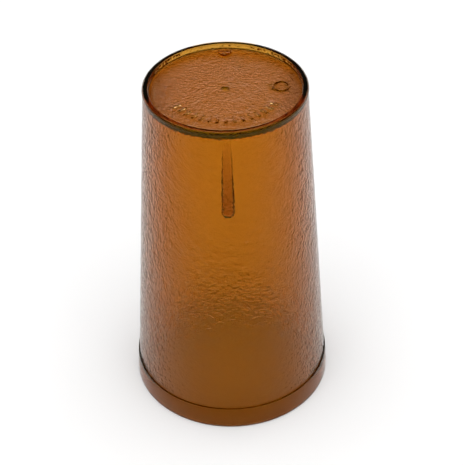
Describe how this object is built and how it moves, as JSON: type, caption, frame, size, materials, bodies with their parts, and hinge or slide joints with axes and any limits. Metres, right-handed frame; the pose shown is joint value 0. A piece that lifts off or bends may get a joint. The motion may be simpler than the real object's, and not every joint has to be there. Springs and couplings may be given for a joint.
{
  "type": "drinking tumbler",
  "caption": "Tapered one-piece plastic drinking tumbler with a pebbled outer wall, smooth lip band, recessed foot and inside stacking ribs.",
  "frame": {"origin": "centre of the rim plane that the tumbler stands on when it is mouth down", "axes": "+Z along the tumbler's axis from the mouth to the foot, -Y through one of the stacking ribs"},
  "size_m": [0.087, 0.087, 0.1524],
  "materials": {
    "amber_plastic": "clear amber SAN plastic, polished on the lip band, the foot ring and the inside, with a fine pebble grain moulded on the outer wall"
  },
  "bodies": {
    "root": {"tumbler": "amber_plastic"}
  },
  "joints": []
}
